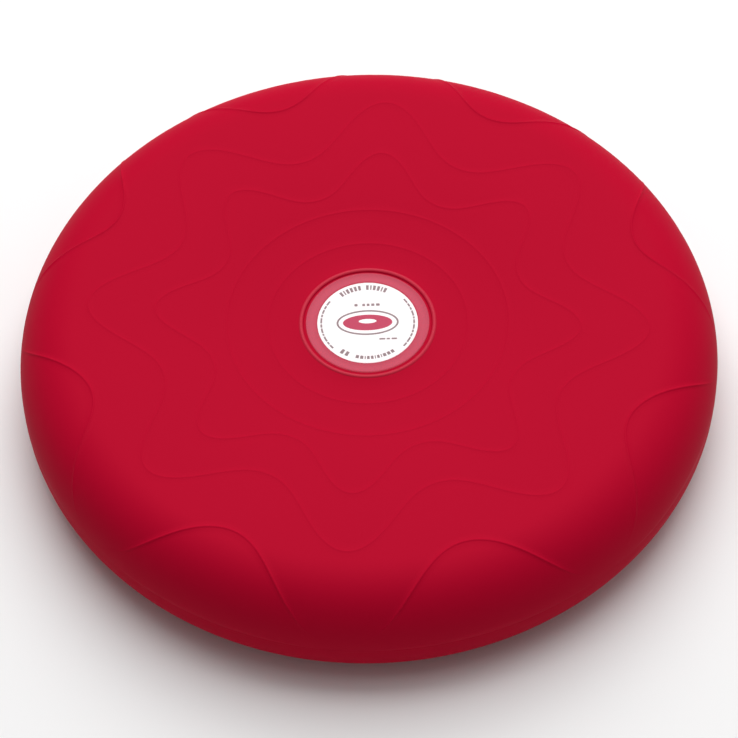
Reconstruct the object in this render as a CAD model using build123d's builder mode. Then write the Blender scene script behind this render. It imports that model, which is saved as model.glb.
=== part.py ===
"""Air-filled wobble cushion: a dished round skin of soft PVC with a needle valve in its side wall.

+Z is up. The origin is at the centre of the underside, in the plane that rests on the floor.
The skin is parted at its widest point, where the upper and lower halves of its mould meet.
"""

import os
from math import asin, cos, degrees, pi, radians, sin

from build123d import *

# Driving dimensions, in millimetres and degrees.
rim_radius = 165.0  # 33 cm across
seam_height = 28.0  # height of the parting line, on the short upright part of the side wall
crown_height = 58.0  # top of the raised ring round the seat
seat_centre_height = 51.0  # the seat is dished towards its centre
crown_inner_radius = 134.0
shoulder_round = 28.0
heel_round = 25.0
wall = 3.0

rest_inner_radius = 80.0  # the underside touches the floor outside this radius
base_centre_height = 4.0  # the underside rises towards its centre
grip_groove_radii = (94.0, 108.0, 122.0)
grip_groove_width = 1.6
grip_groove_depth = 0.6

rib_width = 1.4
rib_height = 0.3
rib_root = 0.3  # how far a rib is sunk into the skin that carries it
ring_rib_radii = (47.0, 66.1)
lobes = 8
lobe_phase = radians(84.6)  # direction of one lobe's tip
# Each wave rib: radius to its tips, radius to its valleys, and the radius of its rounded tips.
wave_ribs = ((99.7, 75.4, 9.0), (131.0, 99.6, 12.0), (160.0, 132.9, 14.0))

seam_bead_height = 1.2
seam_bead_proud = 0.2

# The label's flat bed, inside a bead that runs along the brim of a slight swell in the seat.
bed_radius = 31.0
bed_height = 52.0
recess_radius = 30.2
lip_radius = 31.3
lip_bead_radius = 1.0
lip_top = 53.0
brim_height = 52.6
swell_radius = 40.0
label_radius = 23.6
label_thickness = 0.25
cover_radius = 28.95
cover_thickness = 0.9
cover_edge_round = 0.25

# The valve: distances along its axis are counted outwards from the skin's outer face.
valve_droop = 30.0  # its axis points this far below the horizontal
flange_radius = 7.5
flange_seat = -1.5
flange_face = 0.5
barrel_radius = 5.6
barrel_end = -14.0
boss_radius = 10.0
boss_face = -5.0
boss_root = -2.4
collar_radius = 9.0
collar_thickness = 1.6
core_radius = 4.2
core_face = -5.2
core_end = -12.6
needle_radius = 0.4
funnel_radius = 1.5
funnel_depth = 1.5
core_ring_bore = 2.0
plug_bore = 3.0
plug_pocket_radius = 4.8
plug_pocket_floor = -0.6
plug_head_radius = 4.5
plug_head_thickness = 1.0
plug_shaft_end = -4.9
plug_tip_chamfer = 0.6
plug_tab_width = 4.6
plug_tab_thickness = 1.4
plug_tab_height = 1.3
plug_tab_round = 0.45
flange_edge_round = 0.6
glued_gap = 0.05
sliding_gap = 0.05

seam_top = seam_height + seam_bead_height / 2
seam_bottom = seam_height - seam_bead_height / 2


def dish_radius(centre_height, land_inner_radius, land_height):
    """Radius of the two equal arcs that lead from the dish's centre out to its land."""
    half_run = land_inner_radius / 2
    half_rise = abs(land_height - centre_height) / 2
    return (half_run**2 + half_rise**2) / (2 * half_rise)


def half_section(centre_height, land_inner_radius, land_height, turn_radius, inset):
    """The section of one half of the cushion, from its axis out to a face that lies inset
    inside the skin's outer face."""
    side = 1 if land_height > seam_height else -1
    dish = dish_radius(centre_height, land_inner_radius, land_height)
    dish_turn = side * degrees(asin(land_inner_radius / 2 / dish))
    turn_centre = (rim_radius - turn_radius, land_height - side * turn_radius)
    start = (0, centre_height - side * inset)
    with BuildSketch(Plane.XZ) as section:
        with BuildLine():
            hollow = JernArc(start, (1, 0), dish + inset, dish_turn)
            crown = JernArc(hollow @ 1, hollow % 1, dish - inset, -dish_turn)
            Line(crown @ 1, (turn_centre[0], land_height - side * inset))
            turn = CenterArc(turn_centre, turn_radius - inset, 90 * side, -90 * side)
            Line(turn @ 1, (rim_radius - inset, seam_height))
            Line((rim_radius - inset, seam_height), (0, seam_height))
            Line((0, seam_height), start)
        make_face()
    return section.sketch


def upper_section(inset):
    return half_section(seat_centre_height, crown_inner_radius, crown_height, shoulder_round, inset)


def lower_section(inset):
    return half_section(base_centre_height, rest_inner_radius, 0, heel_round, inset)


def seat_height(radius):
    """Height of the seat's outer face, within the inner of the dish's two arcs."""
    dish = dish_radius(seat_centre_height, crown_inner_radius, crown_height)
    return seat_centre_height + dish - (dish**2 - radius**2) ** 0.5


def bead_circle(radius, surface, bead, proud):
    """Centre of a round bead's section that stands proud of the seat by the stated amount."""
    return (radius, surface - bead + proud)


def polar(radius, angle):
    return (radius * cos(angle), radius * sin(angle))


def wave_outline(tip, valley, tip_round, aside):
    """Face inside a closed wave of tangent arcs, moved aside along its own normal."""
    half_lobe = pi / lobes
    tip_centre = tip - tip_round
    run = tip_centre * cos(half_lobe)
    chord = tip_centre**2 + valley**2 - 2 * run * valley - tip_round**2
    valley_round = chord / (2 * (tip_round - valley + run))
    valley_centre = valley + valley_round
    share = tip_round / (tip_round + valley_round)
    with BuildSketch() as outline:
        with BuildLine():
            for lobe in range(lobes):
                angle = lobe_phase + 2 * lobe * half_lobe
                inner = Vector(*polar(tip_centre, angle))
                before = Vector(*polar(valley_centre, angle - half_lobe))
                after = Vector(*polar(valley_centre, angle + half_lobe))
                reach = share + aside / (tip_round + valley_round)
                rising = inner + (before - inner) * reach
                falling = inner + (after - inner) * reach
                next_inner = Vector(*polar(tip_centre, angle + 2 * half_lobe))
                next_rising = next_inner + (after - next_inner) * reach
                ThreePointArc(rising, polar(tip + aside, angle), falling)
                ThreePointArc(falling, polar(valley + aside, angle + half_lobe), next_rising)
        make_face()
    return outline.sketch


# A thin layer on the seat's outer face, from which the wave ribs are cut.
with BuildPart() as rib_layer:
    with BuildSketch(Plane.XZ):
        add(upper_section(-rib_height))
        add(upper_section(rib_root), mode=Mode.SUBTRACT)
    revolve(axis=Axis.Z)


def wave_rib(tip, valley, tip_round):
    """A thin wavy rib that lies on the seat."""
    with BuildPart() as rib:
        with BuildSketch():
            add(wave_outline(tip, valley, tip_round, rib_width / 2))
            add(wave_outline(tip, valley, tip_round, -rib_width / 2), mode=Mode.SUBTRACT)
        extrude(amount=2 * crown_height)
        add(rib_layer.part, mode=Mode.INTERSECT)
    return rib.part


seat_waves = [wave_rib(*wave) for wave in wave_ribs]

with BuildPart() as upper_shell:
    with BuildSketch(Plane.XZ):
        add(upper_section(0))
        add(upper_section(wall), mode=Mode.SUBTRACT)
        swell_foot = seat_height(swell_radius)
        Polygon(
            (lip_radius, brim_height),
            (swell_radius, swell_foot),
            (swell_radius, swell_foot - wall / 2),
            (lip_radius, brim_height - wall / 2),
            align=None,
        )
        with Locations((lip_radius, lip_top - lip_bead_radius)):
            Circle(lip_bead_radius)
        for radius in ring_rib_radii:
            bead = (rib_width**2 / 4 + rib_height**2) / (2 * rib_height)
            with Locations(bead_circle(radius, seat_height(radius), bead, rib_height)):
                Circle(bead)
    revolve(axis=Axis.Z)
    split(bisect_by=Plane.XY.offset(seam_top), keep=Keep.TOP)
    add(seat_waves)
    with BuildSketch(Plane.XY.offset(seat_centre_height - wall / 2)):
        Circle(bed_radius)
    extrude(amount=bed_height - seat_centre_height + wall / 2)
    with BuildSketch(Plane.XY.offset(bed_height)):
        Circle(recess_radius)
    extrude(amount=crown_height - bed_height, mode=Mode.SUBTRACT)
upper_shell.part.label = "upper_shell"

# The printed label lies on its bed under a clear cover that laps past it all round.
with BuildPart() as label_disc:
    with BuildSketch(Plane.XY.offset(bed_height)):
        Circle(label_radius)
    extrude(amount=label_thickness)
label_disc.part.label = "label_disc"

with BuildPart() as label_cover:
    with BuildSketch(Plane.XY.offset(bed_height)):
        Circle(cover_radius)
    extrude(amount=cover_thickness)
    with BuildSketch(Plane.XY.offset(bed_height)):
        Circle(label_radius)
    extrude(amount=label_thickness, mode=Mode.SUBTRACT)
    fillet(label_cover.faces().sort_by(Axis.Z)[-1].edges(), radius=cover_edge_round)
label_cover.part.label = "label_cover"

# The welded parting line that joins the two halves all round.
with BuildPart() as rim_seam:
    with BuildSketch(Plane.XZ):
        with Locations((rim_radius + seam_bead_proud - wall / 2, seam_height)):
            Rectangle(wall, seam_bead_height)
    revolve(axis=Axis.Z)
    outer_edges = rim_seam.edges().filter_by(GeomType.CIRCLE).group_by(SortBy.RADIUS)[-1]
    fillet(outer_edges, radius=seam_bead_proud)
rim_seam.part.label = "rim_seam"

# The valve stands square to the rear of the side wall, a little below the parting line.
droop = radians(valve_droop)
valve_origin = (
    0,
    rim_radius - heel_round * (1 - cos(droop)),
    heel_round * (1 - sin(droop)),
)
valve_plane = Plane(origin=valve_origin, x_dir=(1, 0, 0), z_dir=(0, cos(droop), -sin(droop)))

with BuildPart() as lower_shell:
    with BuildSketch(Plane.XZ):
        add(lower_section(0))
        add(lower_section(wall), mode=Mode.SUBTRACT)
        for radius in grip_groove_radii:
            with Locations((radius, 0)):
                Rectangle(grip_groove_width, 2 * grip_groove_depth, mode=Mode.SUBTRACT)
    revolve(axis=Axis.Z)
    split(bisect_by=Plane.XY.offset(seam_bottom), keep=Keep.BOTTOM)
    with BuildSketch(valve_plane.offset(boss_face)):
        Circle(boss_radius)
    extrude(amount=boss_root - boss_face)
    with BuildSketch(valve_plane.offset(boss_face)):
        Circle(barrel_radius + glued_gap)
    extrude(amount=flange_face - boss_face, mode=Mode.SUBTRACT)
    with BuildSketch(valve_plane.offset(flange_seat)):
        Circle(flange_radius + glued_gap)
    extrude(amount=flange_face - flange_seat, mode=Mode.SUBTRACT)
lower_shell.part.label = "lower_shell"

with BuildPart() as valve_housing:
    with BuildSketch(valve_plane.offset(barrel_end)):
        Circle(barrel_radius)
    extrude(amount=flange_face - barrel_end)
    with BuildSketch(valve_plane.offset(flange_seat)):
        Circle(flange_radius)
    extrude(amount=flange_face - flange_seat)
    flange_edges = valve_housing.edges().filter_by(GeomType.CIRCLE).group_by(SortBy.RADIUS)[-1]
    fillet(flange_edges.sort_by(Axis.Y)[-1], radius=flange_edge_round)
    with BuildSketch(valve_plane.offset(barrel_end)):
        Circle(core_radius)
    extrude(amount=core_face - barrel_end, mode=Mode.SUBTRACT)
    with BuildSketch(valve_plane.offset(core_face)):
        Circle(plug_bore)
    extrude(amount=flange_face - core_face, mode=Mode.SUBTRACT)
    with BuildSketch(valve_plane.offset(plug_pocket_floor)):
        Circle(plug_pocket_radius)
    extrude(amount=flange_face - plug_pocket_floor, mode=Mode.SUBTRACT)
valve_housing.part.label = "valve_housing"

# A collar clamps the side wall between itself and the housing's flange.
with BuildPart() as valve_collar:
    with BuildSketch(valve_plane.offset(boss_face - collar_thickness)):
        Circle(collar_radius)
        Circle(barrel_radius + glued_gap, mode=Mode.SUBTRACT)
    extrude(amount=collar_thickness)
valve_collar.part.label = "valve_collar"

# The self-sealing core closes on the needle's hole; a ring keeps it in the housing.
with BuildPart() as valve_core:
    with BuildSketch(valve_plane.offset(core_end)):
        Circle(core_radius - glued_gap)
    extrude(amount=core_face - core_end)
    with BuildSketch(valve_plane.offset(core_end)):
        Circle(needle_radius)
    extrude(amount=core_face - core_end, mode=Mode.SUBTRACT)
    with BuildSketch(valve_plane.offset(core_face)):
        Circle(funnel_radius)
    with BuildSketch(valve_plane.offset(core_face - funnel_depth)):
        Circle(needle_radius)
    loft(mode=Mode.SUBTRACT)
valve_core.part.label = "valve_core"

with BuildPart() as core_ring:
    with BuildSketch(valve_plane.offset(barrel_end)):
        Circle(core_radius - glued_gap)
        Circle(core_ring_bore, mode=Mode.SUBTRACT)
    extrude(amount=core_end - barrel_end)
core_ring.part.label = "core_ring"

# The plug closes the needle's way in. Its tab gives a fingernail something to pull.
with BuildPart() as valve_plug:
    with BuildSketch(valve_plane.offset(plug_shaft_end)):
        Circle(plug_bore - sliding_gap)
    extrude(amount=flange_face - plug_shaft_end)
    chamfer(valve_plug.faces().sort_by(Axis.Y)[0].edges(), length=plug_tip_chamfer)
    with BuildSketch(valve_plane.offset(plug_pocket_floor + sliding_gap)):
        Circle(plug_head_radius)
    extrude(amount=plug_head_thickness)
    with BuildSketch(valve_plane.offset(plug_pocket_floor + sliding_gap)):
        RectangleRounded(plug_tab_width, plug_tab_thickness, plug_tab_round)
    extrude(amount=plug_head_thickness + plug_tab_height)
valve_plug.part.label = "valve_plug"

os.makedirs("parts", exist_ok=True)
export_step(upper_shell.part, "parts/upper_shell.step")
export_step(lower_shell.part, "parts/lower_shell.step")
export_step(rim_seam.part, "parts/rim_seam.step")
export_step(label_disc.part, "parts/label_disc.step")
export_step(label_cover.part, "parts/label_cover.step")
export_step(valve_housing.part, "parts/valve_housing.step")
export_step(valve_collar.part, "parts/valve_collar.step")
export_step(valve_core.part, "parts/valve_core.step")
export_step(core_ring.part, "parts/core_ring.step")
export_step(valve_plug.part, "parts/valve_plug.step")
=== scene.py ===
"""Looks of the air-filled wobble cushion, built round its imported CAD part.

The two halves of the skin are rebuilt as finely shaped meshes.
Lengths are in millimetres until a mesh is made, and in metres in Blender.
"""

import math

import bmesh
import bpy
import numpy as np
from mathutils import Matrix, Vector


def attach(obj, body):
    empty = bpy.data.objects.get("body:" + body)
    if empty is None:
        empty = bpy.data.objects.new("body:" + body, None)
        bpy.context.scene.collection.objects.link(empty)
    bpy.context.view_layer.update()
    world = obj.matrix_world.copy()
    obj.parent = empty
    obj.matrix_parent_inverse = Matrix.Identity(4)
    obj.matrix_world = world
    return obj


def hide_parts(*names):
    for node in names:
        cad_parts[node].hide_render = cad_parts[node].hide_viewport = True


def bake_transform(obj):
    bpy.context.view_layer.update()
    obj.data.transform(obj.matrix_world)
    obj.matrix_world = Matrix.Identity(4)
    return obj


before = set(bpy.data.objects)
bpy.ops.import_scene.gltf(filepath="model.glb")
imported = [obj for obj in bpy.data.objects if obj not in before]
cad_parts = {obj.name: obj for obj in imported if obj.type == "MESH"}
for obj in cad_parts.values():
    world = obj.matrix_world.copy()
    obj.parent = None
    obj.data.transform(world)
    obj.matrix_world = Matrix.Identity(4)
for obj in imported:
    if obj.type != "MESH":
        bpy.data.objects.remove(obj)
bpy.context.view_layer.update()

MM = 0.001

# The skin's section, as the CAD has it.
RIM_RADIUS = 165.0
SHOULDER_ROUND = 28.0
HEEL_ROUND = 25.0
SEAM_HEIGHT = 28.0
SEAM_HALF = 0.6
WALL = 3.0
CROWN_HEIGHT = 58.0
CROWN_INNER_RADIUS = 134.0
SEAT_CENTRE_HEIGHT = 51.0
REST_INNER_RADIUS = 80.0
BASE_CENTRE_HEIGHT = 4.0

# The seam ring, from inside the wall to the seam's middle: steps out from the rim and heights.
# It stands very slightly proud of the wall.
SEAM_STEPS = ((-3.0, -0.6), (-0.03, -0.6), (0.0, -0.57), (0.01, -0.3), (0.015, 0.0))

# The grip grooves of the underside. Their section is distances from the middle and shares of the depth.
GROOVE_RADII = (94.0, 108.0, 122.0)
GROOVE_HALF = 1.1
GROOVE_DEPTH = 0.6
GROOVE_FLANK = ((-1.1, 0), (-0.8, 0.1), (-0.65, 0.5), (-0.4, 1))
GROOVE_SECTION = GROOVE_FLANK + tuple((-aside, share) for aside, share in GROOVE_FLANK[::-1])

# The moulded relief of the seat: round ribs, and wavy ribs with one lobe in each eighth.
RIB_HALF = 0.85
LOBES = 8
LOBE_PHASE = math.radians(84.4)
# Each rib's distance from the axis along the skin, as its mean and its first two harmonics, and its height.
RIBS = (
    (47.0, 0.0, 0.0, 0.16),
    (66.3, 0.0, 0.0, 0.16),
    (86.1, 12.2, 1.7, 0.17),
    (113.7, 16.1, 1.9, 0.17),
    (155.0, 23.1, 2.0, 0.37),
)
# The distances between which the outermost rib sinks away over the shoulder.
FADE_START = 157.0
FADE_END = 176.0

# The label's bed, and the swell of skin round it up to a brim. The edges are steps out from the bed's
# radius and up from the bed or the brim.
BED_HEIGHT = 52.0
BED_RADIUS = 30.2
BED_EDGE = ((-0.4, 0.0), (-0.1, 0.06), (0.0, 0.25))
BRIM_RADIUS = 30.9
BRIM_HEIGHT = 52.6
BRIM_EDGE = ((0.05, -0.15), (0.2, -0.03))
SWELL_RADIUS = 40.0

# The bead along the brim.
BEAD_RADIUS = 31.3
BEAD_ROUND = 1.2
BEAD_TOP = 52.95
BEAD_STEP = 15  # degrees

# The printed disc, and the film that covers it and is bonded to the bed round it. The film comes down from
# the disc to the bed between two distances outside the disc. Its edge is steps in from its radius and down
# from its top.
DISC_RADIUS = 23.6
LABEL_TOP = 52.25
FILM_RADIUS = 28.95
FILM_TOP = 52.9
FILM_EDGE = ((0.0, 0.25), (0.07, 0.1), (0.25, 0.02), (0.5, 0.0))
FILM_OVER_DISC = 0.03
FILM_OVER_BED = 0.02
FILM_STEP_DOWN = (0.1, 0.15)

# How finely the skin and film are divided. A step is the furthest that two loops are apart.
AROUND = 768  # points round each loop
UPPER_STEP = 3.8
REST_STEP = 4.0  # up to the outermost groove of the underside
LOWER_STEP = 2.6  # from there up to the seam
RIB_LOOPS = 7
SWELL_LOOPS = 14
BED_SHARES = (0.1, 0.3, 0.6, 0.9)  # loops on the bed, as shares of its radius
BASE_CENTRE_LOOPS = (3.0, 10.0)
EDGE_DEPTHS = (0.04, 0.4, WALL)  # loops across the half's edge on the seam, by depth under the outer face
INNER_LOOPS = 20
INNER_LAST = 8  # the inner face's last loop before the axis
FILM_UNDER_LOOPS = (5, 15)
FILM_TOP_LOOPS = (20, 5)

# The valve, let into the heel of the rear wall.
VALVE_DROOP = math.radians(30.0)
VALVE_HOLE = 6.3
HOLE_CUT_LENGTH = 16
HOLE_SHARP_ANGLE = math.radians(40)  # edges bent more than this are shaded as sharp
TURNED_AROUND = 96  # points round the hole and its boss
# The thickened ring of skin inside the wall that the valve's collar clamps, as radii and heights.
BOSS = [(VALVE_HOLE, -2.7), (VALVE_HOLE, -5.0), (9.7, -5.0), (10.0, -4.7), (10.0, -2.7)]


class Section:
    """One half of the skin in section: a dish of two equal arcs, a flat land, a quarter round and a wall.
    Distances are counted along it from the axis. Side is 1 for the upper half and -1 for the lower."""

    def __init__(self, side, centre, land_inner_radius, land, turn_radius):
        self.side, self.centre, self.land, self.round = side, centre, land, turn_radius
        self.land_inner_radius = land_inner_radius
        half_run, half_rise = land_inner_radius / 2, abs(land - centre) / 2
        self.dish = (half_run**2 + half_rise**2) / (2 * half_rise)
        self.turn = self.dish * math.asin(half_run / self.dish)
        self.land_start = 2 * self.turn
        self.round_start = self.land_start + RIM_RADIUS - turn_radius - land_inner_radius
        self.wall_start = self.round_start + turn_radius * math.pi / 2
        self.seam = self.wall_start + abs(land - SEAM_HEIGHT) - turn_radius - SEAM_HALF

    def at(self, s, lift=0.0):
        """Radius and height of the point at distance s, lifted off the skin's outer face."""
        s = np.asarray(s, float)
        where = [s < self.turn, s < self.land_start, s < self.round_start, s < self.wall_start]
        inner, outer = s / self.dish, (self.land_start - s) / self.dish
        bend = (s - self.round_start) / self.round
        down = s - self.wall_start
        lean = np.select(where, [-inner, -outer, 0 * s, bend], math.pi / 2)
        radius = np.select(
            where,
            [
                self.dish * np.sin(inner),
                self.land_inner_radius - self.dish * np.sin(outer),
                self.land_inner_radius + s - self.land_start,
                RIM_RADIUS - self.round * (1 - np.sin(bend)),
            ],
            RIM_RADIUS,
        )
        rise = np.select(
            where,
            [
                self.dish * (1 - np.cos(inner)) - abs(self.land - self.centre),
                -self.dish * (1 - np.cos(outer)),
                0 * s,
                -self.round * (1 - np.cos(bend)),
            ],
            -self.round - down,
        )
        return radius + lift * np.sin(lean), self.land + self.side * (rise + lift * np.cos(lean))


UPPER = Section(1, SEAT_CENTRE_HEIGHT, CROWN_INNER_RADIUS, CROWN_HEIGHT, SHOULDER_ROUND)
LOWER = Section(-1, BASE_CENTRE_HEIGHT, REST_INNER_RADIUS, 0.0, HEEL_ROUND)
angles = np.arange(AROUND) * (2 * math.pi / AROUND)
full_loop = np.ones(AROUND)


def mesh_object(name, vertices, faces, material):
    """Smooth-shaded object from vertices in millimetres."""
    mesh = bpy.data.meshes.new(name)
    mesh.from_pydata([tuple(v) for v in np.asarray(vertices) * MM], [], faces)
    mesh.validate()
    mesh.polygons.foreach_set("use_smooth", [True] * len(mesh.polygons))
    mesh.materials.append(material)
    obj = bpy.data.objects.new(name, mesh)
    bpy.context.scene.collection.objects.link(obj)
    return obj


def loft(name, first, loops, last, material, flip=False):
    """Closed mesh from a point on the axis, through loops of (radius, height), to another point."""
    count = len(loops)
    vertices = [(0, 0, first)]
    for radius, height in loops:
        vertices.extend(zip(radius * np.cos(angles), radius * np.sin(angles), height * full_loop))
    vertices.append((0, 0, last))
    faces = []
    for j in range(AROUND):
        k = (j + 1) % AROUND
        faces.append((0, 1 + j, 1 + k))
        for i in range(count - 1):
            a, b = 1 + i * AROUND, 1 + (i + 1) * AROUND
            faces.append((a + j, b + j, b + k, a + k))
        end = 1 + (count - 1) * AROUND
        faces.append((end + j, len(vertices) - 1, end + k))
    if flip:
        faces = [face[::-1] for face in faces]
    return mesh_object(name, vertices, faces, material)


def lathe(name, profile, place, material, around=TURNED_AROUND):
    """Closed ring turned round the axis of a place, from a profile of (radius, height)."""
    turn = np.arange(around) * (2 * math.pi / around)
    vertices = [(r * math.cos(t), r * math.sin(t), z) for t in turn for r, z in profile]
    size = len(profile)
    faces = []
    for i in range(around):
        for j in range(size):
            a, b = i * size, (i + 1) % around * size
            k = (j + 1) % size
            faces.append((a + j, b + j, b + k, a + k))
    obj = mesh_object(name, vertices, faces, material)
    obj.data.transform(place)
    return obj


def spaced(section, start, end, step):
    """Loops between two distances along a section, both left out, no further apart than step."""
    gaps = max(1, math.ceil(np.max(end - start) / step))
    return [section.at(start + (end - start) * i / gaps) for i in range(1, gaps)]


# ---------------------------------------------------------------- materials

# The scale and detail of the noise, and how deep the grain is in metres.
MOTTLE_SCALE = 14
MOTTLE_DETAIL = 3
GRAIN_SCALE = 900
GRAIN_DETAIL = 2
GRAIN_DEPTH = 0.0001

# The film's milkiness changes between these distances outside the printed disc, from and to these opacities.
MILK_START = 0.1
MILK_END = 0.3
CLEAR_ALPHA = 0.02
MILKY_ALPHA = 0.2


def new_material(name):
    material = bpy.data.materials.new(name)
    material.use_nodes = True
    nodes, links = material.node_tree.nodes, material.node_tree.links
    return material, nodes, links, nodes["Principled BSDF"]


def finish_shader(shader, colour, roughness, specular):
    shader.inputs["Base Color"].default_value = (*colour, 1)
    shader.inputs["Roughness"].default_value = roughness
    shader.inputs["Specular IOR Level"].default_value = specular


def soft_plastic(name, colour, roughness, specular, grain=0.0, mottle=0.0):
    """Moulded plastic with a fine grain and a slight unevenness of colour."""
    material, nodes, links, shader = new_material(name)
    finish_shader(shader, colour, roughness, specular)
    place = nodes.new("ShaderNodeTexCoord")
    if mottle:
        cloud = nodes.new("ShaderNodeTexNoise")
        cloud.inputs["Scale"].default_value = MOTTLE_SCALE
        cloud.inputs["Detail"].default_value = MOTTLE_DETAIL
        blend = nodes.new("ShaderNodeMix")
        blend.data_type = "RGBA"
        dark = tuple(c * (1 - mottle) for c in colour)
        light = tuple(c * (1 + mottle) for c in colour)
        blend.inputs["A"].default_value = (*dark, 1)
        blend.inputs["B"].default_value = (*light, 1)
        links.new(place.outputs["Object"], cloud.inputs["Vector"])
        links.new(cloud.outputs["Fac"], blend.inputs["Factor"])
        links.new(blend.outputs["Result"], shader.inputs["Base Color"])
    if grain:
        pores = nodes.new("ShaderNodeTexNoise")
        pores.inputs["Scale"].default_value = GRAIN_SCALE
        pores.inputs["Detail"].default_value = GRAIN_DETAIL
        bump = nodes.new("ShaderNodeBump")
        bump.inputs["Strength"].default_value = grain
        bump.inputs["Distance"].default_value = GRAIN_DEPTH
        links.new(place.outputs["Object"], pores.inputs["Vector"])
        links.new(pores.outputs["Fac"], bump.inputs["Height"])
        links.new(bump.outputs["Normal"], shader.inputs["Normal"])
    return material


def frosted_film(name, colour, roughness, specular):
    """Film that is milky outside the printed disc and nearly clear over it."""
    material, nodes, links, shader = new_material(name)
    finish_shader(shader, colour, roughness, specular)
    place = nodes.new("ShaderNodeTexCoord")
    flat = nodes.new("ShaderNodeVectorMath")
    flat.operation = "MULTIPLY"
    flat.inputs[1].default_value = (1, 1, 0)
    reach = nodes.new("ShaderNodeVectorMath")
    reach.operation = "LENGTH"
    milk = nodes.new("ShaderNodeMapRange")
    milk.inputs["From Min"].default_value = (DISC_RADIUS + MILK_START) * MM
    milk.inputs["From Max"].default_value = (DISC_RADIUS + MILK_END) * MM
    milk.inputs["To Min"].default_value = CLEAR_ALPHA
    milk.inputs["To Max"].default_value = MILKY_ALPHA
    links.new(place.outputs["Object"], flat.inputs[0])
    links.new(flat.outputs["Vector"], reach.inputs[0])
    links.new(reach.outputs["Value"], milk.inputs["Value"])
    links.new(milk.outputs["Result"], shader.inputs["Alpha"])
    return material


# Colour, roughness and specular level of each.
skin_red = soft_plastic("SkinRed", (0.452, 0.0025, 0.0238), 0.55, 0.02, grain=0.12, mottle=0.02)
# The bead's red is lighter than the skin's red: a painted highlight, on top of its real gloss.
bead_gloss_painted_highlight = soft_plastic("BeadGlossPaintedHighlight", (0.52, 0.018, 0.045), 0.4, 0.11, grain=0.05, mottle=0.02)
label_white = soft_plastic("LabelWhite", (0.97, 0.965, 0.965), 0.5, 0.3, mottle=0.005)
print_grey = soft_plastic("PrintGrey", (0.28, 0.22, 0.23), 0.6, 0.2, grain=0.05, mottle=0.06)
print_red = soft_plastic("PrintRed", (0.52, 0.05, 0.11), 0.6, 0.2, grain=0.05, mottle=0.06)
film = frosted_film("FrostedFilm", (1.0, 0.25, 0.36), 0.35, 0.1)
valve_red = soft_plastic("ValveRed", (0.42, 0.006, 0.025), 0.4, 0.3, grain=0.05)
valve_rubber = soft_plastic("ValveRubber", (0.045, 0.043, 0.043), 0.7, 0.3, grain=0.2)
plug_white = soft_plastic("PlugWhite", (0.78, 0.76, 0.74), 0.4, 0.4, grain=0.05)

# ---------------------------------------------------------------- upper skin


def edge_loops(section):
    """The half's edge on the seam, and its inner face back to near the axis."""
    seam = section.seam * full_loop
    loops = [section.at(seam - EDGE_DEPTHS[0])]
    loops += [section.at(seam, -depth) for depth in EDGE_DEPTHS]
    for distance in np.linspace(section.seam, INNER_LAST, INNER_LOOPS)[1:]:
        loops.append(section.at(distance * full_loop, -WALL))
    return loops


def rib_loops(mean, first, second, height):
    """Loops across a rib that stands on the skin, and the distances to its two edges."""
    u = LOBES * (angles - LOBE_PHASE)
    path = mean + first * np.cos(u) + second * np.cos(2 * u)
    climb = -LOBES * (first * np.sin(u) + 2 * second * np.sin(2 * u))
    stretch = RIB_HALF * np.sqrt(1 + (climb / UPPER.at(path)[0]) ** 2)
    fade = np.clip((FADE_END - path) / (FADE_END - FADE_START), 0, 1)
    tall = height * fade**2 * (3 - 2 * fade)
    loops = []
    for step in np.linspace(-1, 1, RIB_LOOPS):
        loops.append(UPPER.at(path + step * stretch, tall * math.cos(step * math.pi / 2) ** 2))
    return path - stretch, loops, path + stretch


def upper_skin():
    corners = [(BED_RADIUS * share, BED_HEIGHT) for share in BED_SHARES]
    corners += [(BED_RADIUS + out, BED_HEIGHT + up) for out, up in BED_EDGE]
    corners += [(BED_RADIUS + out, BRIM_HEIGHT + up) for out, up in BRIM_EDGE]
    swell = BRIM_HEIGHT - UPPER.at(BRIM_RADIUS)[1]
    for share in np.linspace(0, 1, SWELL_LOOPS):
        radius = BRIM_RADIUS + (SWELL_RADIUS - BRIM_RADIUS) * share
        corners.append((radius, UPPER.at(radius)[1] + swell * (1 - share) ** 2))
    loops = [(radius * full_loop, height) for radius, height in corners]
    reached = full_loop * SWELL_RADIUS
    for rib in RIBS:
        inner, across, outer = rib_loops(*rib)
        loops += spaced(UPPER, reached, inner, UPPER_STEP) + across
        reached = outer
    loops += spaced(UPPER, reached, UPPER.seam * full_loop, UPPER_STEP) + edge_loops(UPPER)
    return loft("upper_skin", BED_HEIGHT, loops, SEAT_CENTRE_HEIGHT - WALL, skin_red)


seat_skin = upper_skin()
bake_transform(seat_skin)
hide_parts("upper_shell")

# The glossier bead along the brim of the label's bed. Its red is painted lighter than the skin's, as a
# painted highlight along its crest.
around_bead = np.radians(np.arange(0, 360, BEAD_STEP))
BEAD = [
    (BEAD_RADIUS + BEAD_ROUND * math.cos(t), BEAD_TOP + BEAD_ROUND * (math.sin(t) - 1)) for t in around_bead
]
bead = lathe("label_bead", BEAD, Matrix.Identity(4), bead_gloss_painted_highlight, AROUND)
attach(bead, "seat")

# ---------------------------------------------------------------- lower skin

lower_side = [(RIM_RADIUS + out, height) for out, height in SEAM_STEPS]
upper_side = [(radius, -height) for radius, height in lower_side[-2::-1]]
seam_place = Matrix.Translation((0, 0, SEAM_HEIGHT * MM))
seam_ring = lathe("seam_ring", lower_side + upper_side, seam_place, skin_red, AROUND)
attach(seam_ring, "rim")
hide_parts("rim_seam")

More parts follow.
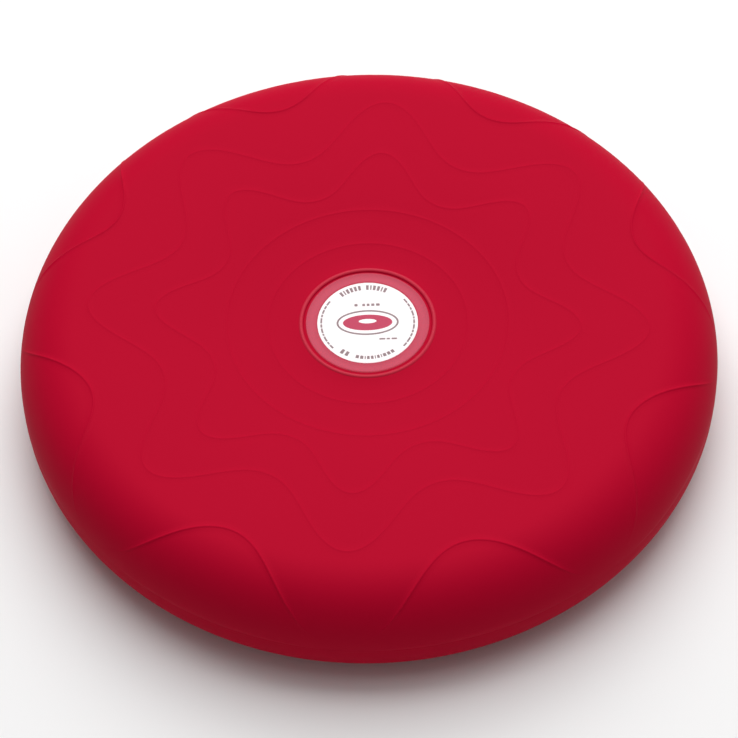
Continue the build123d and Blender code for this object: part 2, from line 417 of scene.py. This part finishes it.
# The valve's axis is square to the heel's round, a third of the way down it.
valve_axis = Vector((0, math.cos(VALVE_DROOP), -math.sin(VALVE_DROOP)))
valve_seat = Vector((0, RIM_RADIUS - HEEL_ROUND, HEEL_ROUND)) + HEEL_ROUND * valve_axis
valve_turn = valve_axis.to_track_quat("Z", "X").to_matrix().to_4x4()
VALVE_PLACE = Matrix.Translation(valve_seat * MM) @ valve_turn


def lower_skin():
    loops = [LOWER.at(distance * full_loop) for distance in BASE_CENTRE_LOOPS]
    reached = full_loop * BASE_CENTRE_LOOPS[-1]
    for radius in GROOVE_RADII:
        path = full_loop * (radius + LOWER.land_start - REST_INNER_RADIUS)
        loops += spaced(LOWER, reached, path - GROOVE_HALF, REST_STEP)
        loops += [LOWER.at(path + aside, -share * GROOVE_DEPTH) for aside, share in GROOVE_SECTION]
        reached = path + GROOVE_HALF
    loops += spaced(LOWER, reached, LOWER.seam * full_loop, LOWER_STEP) + edge_loops(LOWER)
    return loft("lower_skin", BASE_CENTRE_HEIGHT, loops, BASE_CENTRE_HEIGHT + WALL, skin_red, flip=True)


def cut_hole(obj, radius, length):
    """Cuts a round hole through a wall, along the valve's axis."""
    cutter_mesh = bpy.data.meshes.new("valve_hole")
    shape = bmesh.new()
    bmesh.ops.create_cone(
        shape,
        cap_ends=True,
        segments=TURNED_AROUND,
        radius1=radius * MM,
        radius2=radius * MM,
        depth=length * MM,
        matrix=VALVE_PLACE,
    )
    shape.to_mesh(cutter_mesh)
    shape.free()
    cutter = bpy.data.objects.new("valve_hole", cutter_mesh)
    bpy.context.scene.collection.objects.link(cutter)
    cut = obj.modifiers.new("hole", "BOOLEAN")
    cut.operation, cut.solver, cut.object = "DIFFERENCE", "EXACT", cutter
    bpy.context.view_layer.update()
    result = bpy.data.meshes.new_from_object(obj.evaluated_get(bpy.context.evaluated_depsgraph_get()))
    obj.modifiers.clear()
    result.set_sharp_from_angle(angle=HOLE_SHARP_ANGLE)
    obj.data = result
    bpy.data.objects.remove(cutter)


base_skin = lower_skin()
cut_hole(base_skin, VALVE_HOLE, HOLE_CUT_LENGTH)
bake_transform(base_skin)
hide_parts("lower_shell")

boss = lathe("skin_boss", BOSS, VALVE_PLACE, skin_red)
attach(boss, "base")

# ---------------------------------------------------------------- print on the label

PRINT_HALF = 0.01  # half the print's thickness
PRINT_LIFT = 0.012  # from the label's top to the middle of the print
CORNER_STEPS = 8
ARC_POINTS = 7
OVAL_POINTS = 48

# Rows of bars along the label's edge: radius and thickness, then middle direction, lengths and gap as angles
# in degrees. Directions are counted from the label's right-hand side.
BAR_ROWS = (
    (20.7, 2.7, 112, (3.4, 1.8, 3.4, 3.4, 3.4, 3.4), 2.0),
    (20.7, 2.7, 77, (3.4, 1.8, 3.4, 3.4, 1.8, 3.4), 2.0),
    (20.4, 1.8, 279, (4.2, 4.2, 4.2, 1.4, 3.4, 1.4, 3.4, 3.4, 1.4, 4.2, 4.2), 1.7),
    (20.4, 2.6, 237, (4.2, 4.2), 2.8),
    (21.8, 0.85, 182, (6, 4, 8, 3, 7, 5, 8, 4, 6, 5, 7), 1.5),
    (21.8, 0.85, -2, (7, 5, 4, 8, 3, 6, 7, 4, 5, 8, 6), 1.5),
)
# Rows of dashes across the label: distance above its middle, thickness, and each dash's place and width.
DASH_ROWS = (
    (10.4, 1.4, ((-5.2, 1.5), (-1.6, 1.3), (0.5, 1.3), (2.7, 1.5), (5.1, 1.7))),
    (-9.8, 0.9, ((6.6, 2.8), (9.4, 1.6), (12.2, 2.6))),
)
DASH_CORNER = 0.3
# The figure in the middle: half width, half height and distance above the label's middle of each oval.
FRAME_OUTSIDE = (14.6, 7.3, 0.0)
FRAME_INSIDE = (13.7, 6.4, 0.0)
CORE_OUTSIDE = (11.6, 4.6, 0.0)
CORE_HOLE = (4.2, 1.3, 0.8)


def flat_shape(outline, *holes):
    """Thin printed shape, raised a little from the label, from an outline and its holes."""
    curve = bpy.data.curves.new("print", "CURVE")
    curve.dimensions = "2D"
    curve.fill_mode = "BOTH"
    curve.extrude = PRINT_HALF * MM
    for points in [outline, *holes]:
        line = curve.splines.new("POLY")
        line.points.add(len(points) - 1)
        for point, (x, y) in zip(line.points, points):
            point.co = (x * MM, y * MM, 0, 1)
        line.use_cyclic_u = True
    shape = bpy.data.objects.new("print", curve)
    bpy.context.scene.collection.objects.link(shape)
    shape.location.z = (LABEL_TOP + PRINT_LIFT) * MM
    bpy.context.view_layer.update()
    mesh = bpy.data.meshes.new_from_object(shape.evaluated_get(bpy.context.evaluated_depsgraph_get()))
    mesh.transform(shape.matrix_world)
    bpy.data.objects.remove(shape)
    return mesh


def rounded_box(width, height, x, y):
    points = []
    inset_x, inset_y = width / 2 - DASH_CORNER, height / 2 - DASH_CORNER
    for corner, (sx, sy) in enumerate(((1, 1), (-1, 1), (-1, -1), (1, -1))):
        for step in range(CORNER_STEPS + 1):
            t = math.radians(90 * corner + 90 * step / CORNER_STEPS)
            across = x + sx * inset_x + DASH_CORNER * math.cos(t)
            points.append((across, y + sy * inset_y + DASH_CORNER * math.sin(t)))
    return points


def oval(half_width, half_height, y):
    turn = np.linspace(0, 2 * math.pi, OVAL_POINTS, endpoint=False)
    return [(half_width * math.cos(t), y + half_height * math.sin(t)) for t in turn]


def arc_bar(radius, thickness, start, end):
    """Outline of a short bar bent along a circle, between two directions in degrees."""
    turn = np.radians(np.linspace(start, end, ARC_POINTS))
    outside, inside = radius + thickness / 2, radius - thickness / 2
    outer = [(outside * math.cos(t), outside * math.sin(t)) for t in turn]
    inner = [(inside * math.cos(t), inside * math.sin(t)) for t in turn[::-1]]
    return outer + inner


def bars(radius, thickness, middle, spans, gap):
    """Bars of the given lengths, spread evenly about a middle direction."""
    total = sum(spans) + gap * (len(spans) - 1)
    at = middle + total / 2
    made = []
    for span in spans:
        made.append(flat_shape(arc_bar(radius, thickness, at, at - span)))
        at -= span + gap
    return made


def printed(name, meshes, material):
    """One piece from several printed shapes."""
    shape = bmesh.new()
    for mesh in meshes:
        shape.from_mesh(mesh)
    joined = bpy.data.meshes.new(name)
    shape.to_mesh(joined)
    shape.free()
    joined.materials.append(material)
    obj = bpy.data.objects.new(name, joined)
    bpy.context.scene.collection.objects.link(obj)
    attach(obj, "seat")


grey_shapes = [bar for row in BAR_ROWS for bar in bars(*row)]
for y, height, dashes in DASH_ROWS:
    grey_shapes += [flat_shape(rounded_box(width, height, x, y)) for x, width in dashes]
grey_shapes.append(flat_shape(oval(*FRAME_OUTSIDE), oval(*FRAME_INSIDE)))
printed("label_rows", grey_shapes, print_grey)
printed("label_pictogram", [flat_shape(oval(*CORE_OUTSIDE), oval(*CORE_HOLE))], print_red)

# ---------------------------------------------------------------- film over the label


def label_film():
    """The film: its underside over the disc and on the bed, its rounded edge and its top."""
    over_disc, on_bed = LABEL_TOP + FILM_OVER_DISC, BED_HEIGHT + FILM_OVER_BED
    upper, lower = FILM_STEP_DOWN
    corners = [(radius, over_disc) for radius in FILM_UNDER_LOOPS]
    corners += [(DISC_RADIUS + upper, over_disc), (DISC_RADIUS + lower, on_bed), (FILM_RADIUS, on_bed)]
    corners += [(FILM_RADIUS - aside, FILM_TOP - down) for aside, down in FILM_EDGE]
    corners += [(radius, FILM_TOP) for radius in FILM_TOP_LOOPS]
    loops = [(radius * full_loop, height) for radius, height in corners]
    return loft("label_film", over_disc, loops, FILM_TOP, film)


cover = label_film()
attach(cover, "seat")
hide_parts("label_cover")

# ---------------------------------------------------------------- finishes on the CAD nodes

for node, material in {
    "upper_shell": skin_red,
    "lower_shell": skin_red,
    "rim_seam": skin_red,
    "label_disc": label_white,
    "label_cover": film,
    "valve_housing": valve_red,
    "valve_collar": valve_red,
    "valve_core": valve_rubber,
    "core_ring": valve_red,
    "valve_plug": plug_white,
}.items():
    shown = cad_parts[node]
    shown.data.materials.clear()
    shown.data.materials.append(material)

# ---------------------------------------------------------------- studio

FLOOR_HALF = 6.0  # metres
FLOOR_GAP = 0.0001  # metres, keeps the floor clear of the flat underside
FLOOR_COLOUR = (0.9, 0.9, 0.9)
FLOOR_ROUGHNESS = 0.9
WORLD_STRENGTH = 0.2
TARGET = Vector((-0.08, -10.73, 30.0)) * MM
# Each soft light's direction from the cushion, distance and size in metres, and power in watts.
LIGHTS = {
    "key": ((0.03, 0.5, 0.86), 2.4, 2.6, 56),
    "rear": ((0.03, 0.77, 0.64), 2.2, 1.4, 8.0),
    "top": ((0, 0, 1), 2.2, 1.4, 8.5),
    "side": ((0.7, 0.2, 0.7), 2.2, 1.4, 3.5),
}

floor_mesh = bpy.data.meshes.new("studio_floor")
floor_corners = [(FLOOR_HALF * sx, FLOOR_HALF * sy, 0) for sx, sy in ((-1, -1), (1, -1), (1, 1), (-1, 1))]
floor_mesh.from_pydata(floor_corners, [], [(0, 1, 2, 3)])
floor = bpy.data.objects.new("studio_floor", floor_mesh)
floor.location.z = -FLOOR_GAP
bpy.context.scene.collection.objects.link(floor)
floor_white, _, _, floor_shader = new_material("FloorWhite")
finish_shader(floor_shader, FLOOR_COLOUR, FLOOR_ROUGHNESS, 0.0)
floor_mesh.materials.append(floor_white)


def area_light(name, direction, distance, size, power):
    """Square soft light that points at the cushion from a direction."""
    data = bpy.data.lights.new(name, "AREA")
    data.shape, data.size, data.energy = "SQUARE", size, power
    light = bpy.data.objects.new(name, data)
    away = Vector(direction).normalized()
    light.location = TARGET + away * distance
    light.rotation_mode = "QUATERNION"
    light.rotation_quaternion = away.to_track_quat("Z", "Y")
    bpy.context.scene.collection.objects.link(light)


for name, settings in LIGHTS.items():
    area_light(name, *settings)

world = bpy.data.worlds.new("studio")
world.use_nodes = True
sky = world.node_tree.nodes["Background"]
sky.inputs["Color"].default_value = (1, 1, 1, 1)
sky.inputs["Strength"].default_value = WORLD_STRENGTH
bpy.context.scene.world = world
bpy.context.scene.view_settings.view_transform = "Standard"

# ---------------------------------------------------------------- camera

ELEVATION = math.radians(53.763)
ROLL = math.radians(-1.882)
LENS = 152.73
SENSOR_WIDTH = 36.0
# In metres.
DISTANCE = 1.4795
CLIP_START = 0.05
CLIP_END = 50

camera_data = bpy.data.cameras.new("camera")
camera_data.sensor_width = SENSOR_WIDTH
camera_data.lens = LENS
camera_data.clip_start, camera_data.clip_end = CLIP_START, CLIP_END
camera = bpy.data.objects.new("camera", camera_data)
bpy.context.scene.collection.objects.link(camera)
back = Vector((0, -math.cos(ELEVATION), math.sin(ELEVATION)))
level_up = Vector((0, math.sin(ELEVATION), math.cos(ELEVATION)))
right = math.cos(ROLL) * Vector((1, 0, 0)) + math.sin(ROLL) * level_up
up = back.cross(right)
turned = Matrix((right, up, back)).transposed()
camera.matrix_world = Matrix.Translation(TARGET + DISTANCE * back) @ turned.to_4x4()
bpy.context.scene.camera = camera
